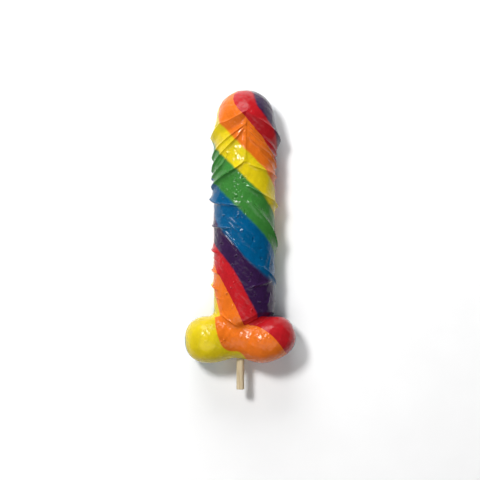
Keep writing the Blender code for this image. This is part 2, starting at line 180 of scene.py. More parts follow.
# Clusters of small pits and bumps on the shown side: middle in photo pixels, spread in X and Y,
# count, and height in millimetres, below zero for a burst bubble
MARK_CLUSTERS = (
    (244.6, 131.0, 0.8, 11.0, 10, 0.25),
    (234.5, 148.0, 0.5, 1.5, 2, 0.22),
    (235.8, 154.0, 0.4, 1.5, 2, 0.22),
    (229.0, 107.0, 4.0, 5.0, 7, -0.14),
    (236.0, 181.0, 2.0, 4.0, 5, -0.40),
    (237.5, 190.0, 1.8, 4.0, 5, -0.45),
    (235.0, 198.5, 2.5, 2.0, 5, -0.45),
    (227.0, 190.0, 0.6, 1.0, 2, 0.40),
    (244.0, 179.0, 1.8, 3.5, 6, -0.35),
    (244.0, 210.0, 3.0, 4.0, 6, -0.30),
    (225.5, 174.0, 1.5, 2.5, 3, 0.25),
    (223.4, 198.5, 0.5, 0.5, 1, 0.40),
    (223.4, 215.4, 0.6, 0.8, 2, 0.45),
    (237.6, 216.3, 1.2, 1.0, 3, 0.50),
    (241.4, 216.5, 0.5, 0.5, 1, -0.40),
    (230.5, 233.0, 0.8, 3.0, 2, 0.35),
    (253.8, 239.8, 0.8, 2.2, 3, -0.45),
    (241.8, 231.0, 0.8, 0.8, 2, 0.35),
    (242.3, 240.0, 0.5, 0.5, 1, 0.35),
    (262.5, 210.0, 2.0, 1.5, 3, -0.40),
    (261.0, 248.0, 1.0, 1.5, 2, -0.35),
    (260.8, 259.0, 0.8, 1.2, 2, -0.40),
    (222.0, 244.0, 1.2, 0.5, 2, -0.45),
    (235.8, 256.0, 1.2, 0.6, 3, 0.50),
    (232.0, 264.8, 1.0, 0.8, 2, 0.40),
    (221.0, 262.0, 3.5, 6.0, 6, -0.22),
    (234.0, 274.0, 0.6, 1.0, 1, 0.40),
    (234.0, 282.5, 0.6, 1.0, 1, 0.35),
    (231.2, 287.6, 1.2, 0.4, 2, 0.40),
    (226.0, 293.4, 1.2, 0.8, 3, 0.35),
    (232.3, 307.0, 0.6, 1.0, 2, 0.35),
    (251.0, 273.0, 0.4, 0.4, 1, 0.45),
    (250.0, 279.0, 0.8, 2.0, 2, -0.30),
    (254.6, 295.6, 0.5, 0.5, 1, 0.40),
    (259.5, 302.0, 1.2, 0.6, 3, 0.45),
    (251.6, 311.0, 0.5, 1.5, 2, 0.40),
    (262.0, 311.0, 1.0, 1.0, 2, -0.30),
    (270.0, 267.0, 0.6, 2.0, 2, -0.30),
    (262.0, 338.0, 8.0, 5.0, 14, 0.22),
    (205.0, 340.0, 2.0, 2.0, 2, 0.16),
    (223.0, 341.0, 2.0, 4.0, 4, 0.22),
)
MARK_HALF_WIDTH = 0.44
MARK_REACH = 1.6
MARK_SEED = 11

# Slow waves of the moulded skin: wave length and height, then how far the waves lean, and the
# heights between which they set in above the flat spot
SKIN_WAVES = ((9.0, 0.10), (5.2, 0.07), (3.1, 0.05), (1.9, 0.018))
WAVE_LEAN_X = 0.31
WAVE_LEAN_Z = 0.23
WAVE_STEP_Y = 0.83
WAVE_LEAN_Y = 0.27
WAVE_START_Z = 0.2
WAVE_FULL_Z = 2.5

# Mesh density
ROUGH_HEAD_RADII = (19.0, 17.5, 16.4)
OVAL_SEGMENTS = 48
MESH_STEPS = (1.6, 0.95, 0.59)
SETTLE_ROUNDS = (10, 8, 5)
EVENING_ROUNDS = (6, 5, 1)
FINE_ROUNDS = 3
FINE_BEND = 0.985
EVENING_SHARE = 0.5
GRADIENT_STEP = 0.01
SMALLEST_SLOPE = 0.05
LARGEST_MOVE = 1.2
FLAT_SNAP = 0.03

# Stripe edges from top to bottom, numbered from FIRST_EDGE: height of the edge on the front
# middle line in photo pixels, then its lean and ease to the left and to the right. The lean
# is in pixels down for each radian round the shaft, and the ease slows it with the angle.
FIRST_EDGE = -3
STRIPE_EDGES = (
    (2.0, 33.0, 0.00, 33.0, 0.00),
    (45.0, 33.0, 0.00, 33.0, 0.00),
    (83.0, 33.0, 0.00, 62.0, 0.28),
    (115.0, 36.0, 0.05, 40.0, 0.12),
    (148.0, 31.0, 0.00, 31.0, 0.03),
    (176.5, 35.0, 0.33, 30.0, 0.03),
    (214.0, 32.0, 0.20, 31.0, 0.03),
    (257.0, 40.0, 0.25, 32.0, 0.40),
    (290.0, 72.0, 0.80, 60.0, 0.10),
    (327.0, 80.0, 0.50, 60.0, 0.10),
    (400.0, 117.0, 0.295, 50.0, 0.00),
    (430.0, 120.0, 0.28, 45.0, 0.00),
    (460.0, 110.0, 0.20, 45.0, 0.00),
    (490.0, 100.0, 0.10, 40.0, 0.00),
    (520.0, 90.0, 0.00, 40.0, 0.00),
)
STRIPES = 6
TURN_PIXELS = 212.0
EDGE_ZERO = 112.0
SMALLEST_STRIPE = 4.0

# Push that gathers the stripes at the right of the tip
TIP_PUSH = 25.0
TIP_START_Y = 74.0
TIP_LENGTH = 11.0
TIP_LEFT_X = 2.2
TIP_RIGHT_X = 6.2

# Stripe edges of the base in photo pixels, and the stripe numbers beside them
RED_EDGE = 6.0
YELLOW_EDGE = 7.0
RED_REACH = 0.90
ORANGE_REACH = 0.92
RED_EDGE_SPREAD = 14.0
YELLOW_EDGE_SPREAD = 10.0
YELLOW_REACH = 0.3
RED_EDGE_ROW = 325.5
RED_EDGE_COLUMN = 250.0
RED_EDGE_CURVE = 0.0215
RED_EDGE_LEFT_SLOPE = 0.50
YELLOW_EDGE_COLUMN = 214.9
YELLOW_EDGE_ROW = 318.0
YELLOW_EDGE_CURVE = 0.0085
UNDER_EDGE_ROW = 351.5
UNDER_EDGE_COLUMN = 236.0
UNDER_EDGE_CURVE = 0.075
EDGE_CORNER = 8.0

# Next colour on the underside and the outer rims of the lobes
UNDERSIDE_TOP_Z = 17.8
UNDERSIDE_LOW_Z = 7.8
LEFT_RIM_COLUMN = 188.0
RIGHT_RIM_COLUMN = 290.0
RIM_ROW = 340.0
RIM_TOP_Z = 21.0
RIM_SOFTNESS = 2.0
RIM_FALL = 0.55
LEFT_RIM_SHIFT = 1.4

# Change from the twist to the base at the crease
BASE_SOFTNESS = 0.3
BASE_CORNER_X = -15.4
BASE_CORNER_WIDTH = 1.0
BASE_CORNER_LIFT = 5.0

# Stripe colours in order down the shaft, how soft their edges are, and how far they wander
STRIPE_COLOURS = (
    (0.65, 0.140, 0.010),
    (0.60, 0.460, 0.007),
    (0.037, 0.178, 0.030),
    (0.0003, 0.076, 0.192),
    (0.028, 0.0090, 0.047),
    (0.41, 0.010, 0.015),
)
STRIPE_SOFT_EDGE = 0.008
STRIPE_WANDER = 0.010

# Candy surface: noise grain for each metre and its detail, then what each noise changes
NOISE_LOW = 0.3
NOISE_MIDDLE = 0.5
NOISE_HIGH = 0.7
WANDER_GRAIN = 420.0
WANDER_DETAIL = 2.0
CLOUD_GRAIN = 160.0
CLOUD_DETAIL = 3.0
CLOUD_DARK = 0.90
CLOUD_BRIGHT = 1.10
RIPPLE_GRAIN = 850.0
RIPPLE_DETAIL = 2.0
RIPPLE_STRENGTH = 0.5
RIPPLE_HEIGHT = 0.0003
SMOOTH_ROUGHNESS = 0.05
SMEARED_ROUGHNESS = 0.10
DULL_START = -0.044
DULL_END = -0.052
DULL_ROUGHNESS = 0.13
CANDY_SETTINGS = (
    ("IOR", 1.5),
    ("Specular IOR Level", 0.26),
    ("Subsurface Weight", 0.12),
    ("Subsurface Radius", (1.0, 0.7, 0.5)),
    ("Subsurface Scale", 0.0015),
)

# Stick, with the waves of its fibre: waves round, waves along and share
STICK_X = 0.2
STICK_RADIUS = 2.25
STICK_SIDES = 72
STICK_RINGS = 90
STICK_EDGE = 0.3
STICK_EDGE_STEP = 0.12
STICK_EDGE_INSET = 0.09
STICK_GRAIN = 0.025
STICK_FIBRES = ((7.0, 0.11, 1.0), (17.0, -0.07, 0.6))
WOOD_STRETCH = (1.0, 0.05, 1.0)
WOOD_GRAIN = 1500.0
WOOD_DETAIL = 5.0
WOOD_COLOURS = ((0.35, (0.44, 0.33, 0.19, 1.0)), (0.62, (0.64, 0.53, 0.35, 1.0)))
WOOD_BUMP_STRENGTH = 0.4
WOOD_BUMP_HEIGHT = 0.0001
WOOD_ROUGHNESS = 0.62

# Table top
FLOOR_SIZE = 6.0
FLOOR_GAP = 0.0002
FLOOR_GRAIN = 40.0
FLOOR_DETAIL = 2.0
FLOOR_DARK = 0.90
FLOOR_BRIGHT = 0.94
FLOOR_ROUGHNESS = 0.7

# Room, brighter toward the horizon and toward the left: where each change starts and ends, and
# the brightness there
WHITE = (1.0, 1.0, 1.0, 1.0)
ROOM_BY_HEIGHT = (0.25, 0.90, 0.26, 0.10)
ROOM_BY_SIDE = (-0.6, 0.8, 1.00, 0.16)

# Lights: name, place, width, height and power
LIGHTS = (
    ("key", (-0.34, 0.36, 0.86), 0.17, 0.17, 7.4),
    ("back", (-0.14, 0.86, 0.46), 0.66, 0.50, 6.4),
    ("fill", (-0.05, -0.40, 0.90), 1.10, 0.50, 2.8),
)

# Camera
FOCUS_Z = 15.0
LENS = 100.0
SENSOR = 36.0


def photo_x(pixel):
    """X in millimetres of a photo column."""
    return (pixel - PHOTO_MIDDLE) * PIXEL


def photo_y(pixel):
    """Y in millimetres of a photo row."""
    return (PHOTO_MIDDLE - pixel) * PIXEL


def seen(points):
    """X and Y as read in the view from above, where what stands nearer looks larger."""
    x, y, z = points.T
    scale = 1.0 - (z - MID_Z) / EYE_DISTANCE
    return x / scale, y / scale


def soft_min(first, second, reach):
    """Smaller of two fields, with a rounded inner corner."""
    share = np.clip(0.5 + 0.5 * (second - first) / reach, 0.0, 1.0)
    return second * (1.0 - share) + first * share - reach * share * (1.0 - share)


def soft_max(first, second, reach):
    """Larger of two fields, with a rounded outer corner."""
    return -soft_min(-first, -second, reach)


def oval_gap(offset, radii, power=2.0):
    """Near distance from an oval skin centred on zero, negative inside; a high power is boxier."""
    scaled = np.abs(offset / radii)
    length = (scaled ** power).sum(axis=1) ** (1.0 / power)
    slope = np.sqrt(((scaled ** (power - 1.0) / radii) ** 2).sum(axis=1))
    return length ** (power - 1.0) * (length - 1.0) / np.maximum(slope, TINY)


def smooth_step(low, high, value):
    """Share that climbs from 0 at low to 1 at high."""
    share = np.clip((value - low) / (high - low), 0.0, 1.0)
    return share * share * (3.0 - 2.0 * share)


def angle_round(x, z, middle_x):
    """Angle in degrees round the long axis, zero at the front and positive toward +X."""
    return np.degrees(np.arctan2((x - middle_x) / SHAFT_HALF_WIDTH, (z - MID_Z) / SHAFT_HALF_DEPTH))


def front_angle(angle):
    """The same angle with the back half folded onto the front half."""
    folded = np.sign(angle) * (HALF_TURN - np.abs(angle))
    return np.where(np.abs(angle) > QUARTER_TURN, folded, angle)


def round_value(angle, front, side, back, bend):
    """Value that runs from front through side to back with the angle."""
    turn = np.abs(angle)
    near = front + (side - front) * np.clip(turn / QUARTER_TURN, 0.0, 1.0) ** bend
    far = side + (back - side) * smooth_step(QUARTER_TURN, HALF_TURN, turn)
    return np.where(turn <= QUARTER_TURN, near, far)


def one_fold(angle, height, fold, fade):
    """Rise of one fold at the given angles and heights, gentle above its crest and steep below."""
    start_angle, start_y, end_angle, end_y, bend, rise, reach_up, reach_down = fold
    turn = (angle - start_angle) / (end_angle - start_angle)
    middle = start_y + (end_y - start_y) * np.clip(turn, 0.0, FOLD_OVERRUN) ** bend
    arc = math.radians(abs(end_angle - start_angle)) * SHAFT_HALF_WIDTH
    lean = math.cos(math.atan2(abs(end_y - start_y), arc))
    low, high = min(start_angle, end_angle), max(start_angle, end_angle)
    inside = smooth_step(low - fade, low + fade, angle)
    inside = inside * (1.0 - smooth_step(high - fade, high + fade, angle))
    away = (height - middle) * lean
    rounded = np.hypot(away, FOLD_ROUNDING) - FOLD_ROUNDING
    swell = np.exp(-rounded / np.where(away > 0.0, reach_up, reach_down))
    bead = FOLD_BEAD * np.exp(-((away / FOLD_BEAD_WIDTH) ** 2))
    return rise * inside * (swell + bead)


def shaft_relief(points):
    """Rise of the shaft skin from its folds, wrinkles and middle ridge."""
    x, _, z = points.T
    _, y = seen(points)
    angle = front_angle(angle_round(x, z, SHAFT_X))
    rise = np.zeros(len(points))
    for fold in FOLDS:
        added = one_fold(angle, y, fold, FOLD_FADE)
        rise = np.maximum(rise, added) + FOLD_OVERLAP * np.minimum(rise, added)
    for wrinkle in WRINKLES:
        rise = rise + one_fold(angle, y, wrinkle, WRINKLE_FADE)
    along = smooth_step(RIDGE_END_Y - RIDGE_FADE, RIDGE_END_Y + RIDGE_FADE, y)
    along = along * (1.0 - smooth_step(RIDGE_TOP_Y, RIDGE_TOP_Y + RIDGE_FADE, y))
    ridge = RIDGE_RISE * along * np.exp(-np.abs(x - HEAD_X) / RIDGE_HALF_WIDTH)
    return rise + np.where(z > MID_Z, ridge, 0.0)


def mark_places():
    """Places and heights of the small pits and bumps on the shown side."""
    chance = np.random.default_rng(MARK_SEED)
    places = []
    for x, y, spread_x, spread_y, count, height in MARK_CLUSTERS:
        scatter = chance.uniform(-1.0, 1.0, (count, 2)) * (spread_x, spread_y)
        for shift_x, shift_y in scatter:
            places.append((photo_x(x + shift_x), photo_y(y + shift_y), height))
    return places


MARKS = mark_places()


def skin_detail(points):
    """Rise of the whole skin from small pits, bumps and slow waves."""
    x, y, z = points.T
    rise = np.zeros(len(points))
    for length, height in SKIN_WAVES:
        turn = FULL_CIRCLE / length
        across = np.sin(turn * (x + WAVE_LEAN_X * y)) * np.sin(turn * (z + WAVE_LEAN_Z * x))
        rise = rise + height * across * np.sin(turn * (WAVE_STEP_Y * y - WAVE_LEAN_Y * z))
    rise = rise * smooth_step(WAVE_START_Z, WAVE_FULL_Z, z)
    shown = z > MID_Z
    x, y = seen(points)
    for mark_x, mark_y, height in MARKS:
        near = shown & (np.abs(x - mark_x) < MARK_REACH) & (np.abs(y - mark_y) < MARK_REACH)
        away = (x[near] - mark_x) ** 2 + (y[near] - mark_y) ** 2
        rise[near] += height * np.exp(-away / MARK_HALF_WIDTH ** 2)
    return rise


def rim_height(x, z):
    """Height along Y of the rim of the head at its angle, and that angle."""
    angle = angle_round(x, z, HEAD_X)
    left = round_value(angle, RIM_FRONT_Y, RIM_LEFT_Y, RIM_BACK_Y, RIM_LEFT_BEND)
    right = round_value(angle, RIM_FRONT_Y, RIM_RIGHT_Y, RIM_BACK_Y, RIM_RIGHT_BEND)
    left = left + RIM_LEFT_LIFT * np.exp(-(((angle - RIM_LIFT_ANGLE) / RIM_LIFT_WIDTH) ** 2))
    return np.where(angle < 0.0, left, right), angle


def crease_height(x):
    """Height along Y of the crease where the shaft meets the base, lowest near the middle."""
    away = x - CREASE_X
    climb = np.hypot(away, CREASE_BEND) - CREASE_BEND
    slope = np.where(away < 0.0, CREASE_LEFT_SLOPE, CREASE_RIGHT_SLOPE)
    return np.minimum(CREASE_LOW_Y + slope * climb, CREASE_SIDE_Y)


def left_to_right(x, left, right):
    """Value that changes from left to right across the lowest point of the crease."""
    return left + (right - left) * smooth_step(-CREASE_FADE, CREASE_FADE, x - CREASE_X)


def shaft_gap(points):
    """Near distance from the shaft, which ends under the rim of the head and at the base."""
    x, y, z = points.T
    _, seen_y = seen(points)
    offset = np.column_stack((x - SHAFT_X, np.minimum(y - SHAFT_FOOT_Y, 0.0), z - MID_Z))
    body = oval_gap(offset, np.array((SHAFT_HALF_WIDTH, SHAFT_FOOT_LENGTH, SHAFT_HALF_DEPTH)))
    drop = left_to_right(x, CREASE_LEFT_DROP, CREASE_RIGHT_DROP)
    drop = drop * smooth_step(CREASE_ABOVE, -CREASE_BELOW, seen_y - crease_height(x))
    drop = drop * smooth_step(MID_Z - CREASE_BACK, MID_Z, z)
    rim_y, _ = rim_height(x, z)
    return soft_max(
        body + drop - shaft_relief(points), seen_y - rim_y + SHAFT_TOP_INSET, SHAFT_TOP_ROUNDING
    )


def head_gap(points):
    """Near distance from the flared head, whose underside is a slanted band."""
    x, y, z = points.T
    offset = np.column_stack((x - HEAD_X, np.maximum(y - DOME_FOOT_Y, 0.0), z - MID_Z))
    dome = oval_gap(offset, np.array((HEAD_HALF_WIDTH, DOME_LENGTH, HEAD_HALF_DEPTH)))
    rim_y, angle = rim_height(x, z)
    _, seen_y = seen(points)
    above_rim = seen_y - rim_y
    flare = round_value(angle, FLARE_FRONT, FLARE_SIDE, FLARE_BACK, 1.0)
    above = np.clip(1.0 - above_rim / FLARE_LENGTH, 0.0, 1.0)
    bead = RIM_BEAD * np.exp(-(((above_rim - RIM_BEAD_ABOVE) / RIM_BEAD_WIDTH) ** 2))
    skin = dome - flare * above ** FLARE_BEND - np.where(z > MID_Z, bead, 0.0)
    band = round_value(angle, RIM_BAND_FRONT, RIM_BAND_SIDE, RIM_BAND_SIDE, 1.0)
    step = round_value(angle, RIM_STEP_FRONT, RIM_STEP_SIDE, RIM_STEP_SIDE, 1.0)
    under = (skin * band - above_rim * step) / np.sqrt(band ** 2 + step ** 2)
    return soft_max(skin, under, RIM_ROUNDING)


def lobe_gap(points, lobe):
    """Near distance from one oval lobe."""
    centre, radii, turn = lobe
    offset = points - np.array(centre)
    cos_turn = math.cos(math.radians(turn))
    sin_turn = math.sin(math.radians(turn))
    turned = np.column_stack((
        offset[:, 0] * cos_turn + offset[:, 1] * sin_turn,
        offset[:, 1] * cos_turn - offset[:, 0] * sin_turn,
        offset[:, 2],
    ))
    return oval_gap(turned, np.array(radii), LOBE_POWER)


def lobes_gap(points):
    """Near distance from the whole base."""
    lobes = soft_min(lobe_gap(points, LEFT_LOBE), lobe_gap(points, RIGHT_LOBE), LOBE_BLEND)
    return soft_min(lobes, lobe_gap(points, MIDDLE_LOBE), LOBE_BLEND)


def upper_gap(points):
    """Near distance from the head and the shaft together."""
    return soft_min(head_gap(points), shaft_gap(points), NECK_ROUNDING)


def candy_gap(points):
    """Near distance from the whole candy skin in millimetres, negative inside."""
    blend = left_to_right(points[:, 0], SHAFT_BLEND_LEFT, SHAFT_BLEND_RIGHT)
    whole = soft_min(upper_gap(points), lobes_gap(points), blend) - skin_detail(points)
    return soft_max(whole, -points[:, 2], REST_ROUNDING)


def gap_and_gradient(points):
    """Field and its slope by small differences."""
    gap = candy_gap(points)
    slope = np.zeros_like(points)
    for axis in range(3):
        shift = np.zeros(3)
        shift[axis] = GRADIENT_STEP
        slope[:, axis] = (candy_gap(points + shift) - gap) / GRADIENT_STEP
    return gap, slope


def settle(points, edges, rounds, evening_rounds):
    """Move points onto the candy skin, evening out their spacing on the way."""
    count = len(points)
    ends = np.concatenate((edges[:, 0], edges[:, 1]))
    others = np.concatenate((edges[:, 1], edges[:, 0]))
    valence = np.maximum(np.bincount(ends, minlength=count), 1)
    for turn in range(rounds):
        gap, slope = gap_and_gradient(points)
        size = np.maximum((slope * slope).sum(axis=1), SMALLEST_SLOPE)
        move = -(gap / size)[:, None] * slope
        length = np.maximum(np.linalg.norm(move, axis=1), TINY)
        points = points + move * np.minimum(1.0, LARGEST_MOVE / length)[:, None]
        if turn < evening_rounds:
            mean = np.column_stack([
                np.bincount(ends, weights=points[others, axis], minlength=count) / valence
                for axis in range(3)
            ])
            normal = slope / np.sqrt(size)[:, None]
            drift = mean - points
            drift = drift - (drift * normal).sum(axis=1)[:, None] * normal
            points = points + EVENING_SHARE * drift
    points[:, 2] = np.where(points[:, 2] < FLAT_SNAP, 0.0, points[:, 2])
    return points


def mesh_points(mesh):
    """Points of a mesh in millimetres."""
    flat = np.empty(len(mesh.vertices) * 3)
    mesh.vertices.foreach_get("co", flat)
    return flat.reshape(-1, 3) / MM


def new_object(name, mesh):
    """Link a mesh to the scene as an object."""
    made = bpy.data.objects.new(name, mesh)
    bpy.context.scene.collection.objects.link(made)
    return made


def remeshed(mesh, step):
    """Mesh rebuilt in even squares of the given size in millimetres."""
    helper = new_object("helper", mesh)
    modifier = helper.modifiers.new("even squares", "REMESH")
    modifier.mode = "VOXEL"
    modifier.voxel_size = step * MM
    graph = bpy.context.evaluated_depsgraph_get()
    graph.update()
    result = bpy.data.meshes.new_from_object(helper.evaluated_get(graph), depsgraph=graph)
    bpy.data.objects.remove(helper, do_unlink=True)
    return result


def add_oval(target, centre, radii, stretch=0.0):
    """Add a closed oval to a bmesh, pulled apart along Y by stretch."""
    made = bmesh.ops.create_uvsphere(
        target, u_segments=OVAL_SEGMENTS, v_segments=OVAL_SEGMENTS // 2, radius=1.0
    )
    for vertex in made["verts"]:
        along = stretch if vertex.co.y > 0.0 else -stretch
        vertex.co = Vector((
            centre[0] + vertex.co.x * radii[0],
            centre[1] + vertex.co.y * radii[1] + along,
            centre[2] + vertex.co.z * radii[2],
        )) * MM


def rough_candy():
    """Plain ovals in the places of the shaft, the head and the lobes."""
    target = bmesh.new()
    foot_y = SHAFT_FOOT_Y - SHAFT_FOOT_LENGTH
    half_length = (RIM_LEFT_Y - foot_y) / 2.0
    middle_y = (RIM_LEFT_Y + foot_y) / 2.0
    add_oval(
        target,
        (SHAFT_X, middle_y, MID_Z),
        (SHAFT_HALF_WIDTH, SHAFT_HALF_WIDTH, SHAFT_HALF_DEPTH),
        half_length - SHAFT_HALF_WIDTH / 2.0,
    )
    add_oval(target, (HEAD_X, DOME_FOOT_Y, MID_Z), ROUGH_HEAD_RADII)
    for centre, radii, _ in (LEFT_LOBE, RIGHT_LOBE, MIDDLE_LOBE):
        add_oval(target, centre, radii)
    mesh = bpy.data.meshes.new("rough")
    target.to_mesh(mesh)
    target.free()
    return mesh


def edge_heights(turn):
    """Height in photo pixels of every stripe edge at the given angles in radians."""
    heights = []
    half_turn = math.pi / 2.0
    for index, row in enumerate(STRIPE_EDGES):
        middle, left_lean, left_ease, right_lean, right_ease = row
        lean = np.where(turn < 0.0, left_lean, right_lean)
        ease = np.where(turn < 0.0, left_ease, right_ease)
        near = np.clip(turn, -half_turn, half_turn)
        height = middle + lean * near / (1.0 + ease * np.abs(near))
        closing = EDGE_ZERO + (FIRST_EDGE + index) * TURN_PIXELS / STRIPES
        closing = closing + np.sign(turn) * TURN_PIXELS / 2.0
        back = np.clip((np.abs(turn) - half_turn) / half_turn, 0.0, 1.0)
        heights.append(height * (1.0 - back) + closing * back)
    return heights


def twist_stripe(points):
    """Stripe number, with its fraction, from the twist round the shaft."""
    x, y, z = points.T
    push = TIP_PUSH * np.clip((y - TIP_START_Y) / TIP_LENGTH, 0.0, 1.0) ** 2
    push = push * smooth_step(TIP_LEFT_X, TIP_RIGHT_X, x)
    turn = np.arctan2((x - SHAFT_X) / SHAFT_HALF_WIDTH, (z - MID_Z + push) / SHAFT_HALF_DEPTH)
    row = PHOTO_MIDDLE - seen(points)[1] / PIXEL
    heights = edge_heights(turn)
    number = np.full(len(points), float(FIRST_EDGE))
    for upper, lower in zip(heights, heights[1:]):
        width = np.maximum(lower - upper, SMALLEST_STRIPE)
        number = number + np.clip((row - upper) / width, 0.0, 1.0)
    return number


def lobe_stripe(points):
    """Stripe number on the base: red and orange on the right, yellow with a green rim on the left."""
    x, y = seen(points)
    z = points[:, 2]
    column = PHOTO_MIDDLE + x / PIXEL
    row = PHOTO_MIDDLE - y / PIXEL
    aside = column - RED_EDGE_COLUMN
    bend = np.where(aside > 0.0, RED_EDGE_CURVE * aside ** 2, RED_EDGE_LEFT_SLOPE * aside)
    below = row - RED_EDGE_ROW - bend
    reach = np.where(below > 0.0, ORANGE_REACH, RED_REACH)
    right = RED_EDGE + reach * np.tanh(below / RED_EDGE_SPREAD)
    lower = smooth_step(UNDERSIDE_TOP_Z, UNDERSIDE_LOW_Z, z)
    above = np.maximum(RIM_ROW - row, 0.0)
    right_top = RIM_TOP_Z - RIM_FALL * np.hypot(above, np.maximum(RIGHT_RIM_COLUMN - column, 0.0))
    right_rim = smooth_step(right_top, right_top - RIM_SOFTNESS, z)
    right = right - np.maximum(lower, right_rim)
    beside = YELLOW_EDGE_COLUMN + YELLOW_EDGE_CURVE * (row - YELLOW_EDGE_ROW) ** 2 - column
    under = UNDER_EDGE_CURVE * np.maximum(column - UNDER_EDGE_COLUMN, 0.0) ** 2
    edge = soft_max(beside, row - UNDER_EDGE_ROW - under, EDGE_CORNER)
    left_top = RIM_TOP_Z - RIM_FALL * np.hypot(above, np.maximum(column - LEFT_RIM_COLUMN, 0.0))
    left_rim = smooth_step(left_top, left_top - RIM_SOFTNESS, z)
    green = YELLOW_REACH + LEFT_RIM_SHIFT * np.maximum(lower, left_rim)
    left = YELLOW_EDGE + np.minimum(edge / YELLOW_EDGE_SPREAD, green)
    return np.maximum(right, left)


def stripe_number(points):
    """Stripe number of the whole candy, changing over at the crease of the base."""
    x, y = seen(points)
    corner = smooth_step(BASE_CORNER_X + BASE_CORNER_WIDTH, BASE_CORNER_X, x)
    edge_y = crease_height(x) + BASE_CORNER_LIFT * corner
    share = smooth_step(BASE_SOFTNESS, -BASE_SOFTNESS, y - edge_y)
    return twist_stripe(points) * (1.0 - share) + lobe_stripe(points) * share


def store_points(mesh, points):
    """Write points in millimetres back into a mesh."""
    mesh.vertices.foreach_set("co", (points * MM).ravel())
    mesh.update()


def edge_pairs(mesh):
    """Both point numbers of every edge."""
    pairs = np.empty(len(mesh.edges) * 2, dtype=np.int64)
    mesh.edges.foreach_get("vertices", pairs)
    return pairs.reshape(-1, 2)


def skin_normals(points):
    """Outward directions of the candy skin."""
    _, slope = gap_and_gradient(points)
    return slope / np.maximum(np.linalg.norm(slope, axis=1), TINY)[:, None]


def split_bends(mesh, points):
    """Split the edges across which the skin turns most."""
    pairs = edge_pairs(mesh)
    normals = skin_normals(points)
    facing = (normals[pairs[:, 0]] * normals[pairs[:, 1]]).sum(axis=1)
    target = bmesh.new()
    target.from_mesh(mesh)
    target.edges.ensure_lookup_table()
    chosen = [target.edges[index] for index in np.flatnonzero(facing < FINE_BEND)]
    bmesh.ops.subdivide_edges(target, edges=chosen, cuts=1, use_grid_fill=True)
    bmesh.ops.triangulate(target, faces=[face for face in target.faces if len(face.verts) > 4])
    target.to_mesh(mesh)
    target.free()


def make_candy():
    """Candy skin with its stripe direction stored on every point."""
    mesh = rough_candy()
    for step, rounds, evening_rounds in zip(MESH_STEPS, SETTLE_ROUNDS, EVENING_ROUNDS):
        mesh = remeshed(mesh, step)
        points = settle(mesh_points(mesh), edge_pairs(mesh), rounds, evening_rounds)
        store_points(mesh, points)
    split_bends(mesh, points)
    points = settle(mesh_points(mesh), edge_pairs(mesh), FINE_ROUNDS, 0)
    store_points(mesh, points)
    mesh.polygons.foreach_set("use_smooth", np.ones(len(mesh.polygons), dtype=bool))
    mesh.normals_split_custom_set_from_vertices(skin_normals(points))
    turn = FULL_CIRCLE * stripe_number(points) / STRIPES
    direction = np.column_stack((np.cos(turn), np.sin(turn), np.zeros(len(points))))
    stored = mesh.attributes.new("stripe", "FLOAT_VECTOR", "POINT")
    stored.data.foreach_set("vector", direction.ravel())
    return new_object("candy_skin", mesh)


class Nodes:
    """Short hand for adding and linking the shader nodes of one material."""

    def __init__(self, name):
        self.material = bpy.data.materials.new(name)
        self.material.use_nodes = True
        self.tree = self.material.node_tree
        self.shader = self.tree.nodes["Principled BSDF"]

    def add(self, kind, **settings):
        """New node with its settings."""
        node = self.tree.nodes.new(kind)
        for key, value in settings.items():
            setattr(node, key, value)
        return node

    def link(self, source, target):
        """Link an output socket to an input socket."""
        self.tree.links.new(source, target)

    def place(self):
        """Place on the object, in metres."""
        return self.add("ShaderNodeTexCoord").outputs["Object"]

    def split(self, vector):
        """The three parts of a vector."""
        node = self.add("ShaderNodeSeparateXYZ")
        self.link(vector, node.inputs[0])
        return node.outputs

    def math(self, operation, *values):
        """Math node fed by sockets or numbers."""
        node = self.add("ShaderNodeMath", operation=operation)
        for index, value in enumerate(values):
            if isinstance(value, float):
                node.inputs[index].default_value = value
            else:
                self.link(value, node.inputs[index])
        return node.outputs[0]

    def noise(self, place, grain, detail):
        """Noise with the given grain and detail."""
        node = self.add("ShaderNodeTexNoise")
        node.inputs["Scale"].default_value = grain
        node.inputs["Detail"].default_value = detail
        self.link(place, node.inputs["Vector"])
        return node.outputs[0]

    def spread(self, value, *limits):
        """Value moved from one range, low and high, to another."""
        return spread_value(self.tree, value, limits)

    def ramp(self, share, stops):
        """Colour from a ramp of places and colours."""
        node = self.add("ShaderNodeValToRGB")
        elements = node.color_ramp.elements
        for index, (position, colour) in enumerate(stops):
            stop = elements[index] if index < len(elements) else elements.new(position)
            stop.position = position
            stop.color = colour
        self.link(share, node.inputs[0])
        return node.outputs[0]

    def bump(self, height, strength, distance):
        """Fine relief on the surface."""
        node = self.add("ShaderNodeBump")
        node.inputs["Strength"].default_value = strength
        node.inputs["Distance"].default_value = distance
        self.link(height, node.inputs["Height"])
        self.link(node.outputs[0], self.shader.inputs["Normal"])


def spread_value(tree, value, limits):
    """Output of a node that moves a value from one range to another: from low, high, to low, high."""
    node = tree.nodes.new("ShaderNodeMapRange")
    for name, limit in zip(("From Min", "From Max", "To Min", "To Max"), limits):
        node.inputs[name].default_value = limit
    tree.links.new(value, node.inputs["Value"])
    return node.outputs[0]


def stripe_stops():
    """Places and colours of the stripe ramp, with a narrow soft edge between stripes."""
    stops = []
    for index, colour in enumerate(STRIPE_COLOURS):
        low = index / STRIPES + STRIPE_SOFT_EDGE
        high = (index + 1) / STRIPES - STRIPE_SOFT_EDGE
        stops += [(low, (*colour, 1.0)), (high, (*colour, 1.0))]
    return stops


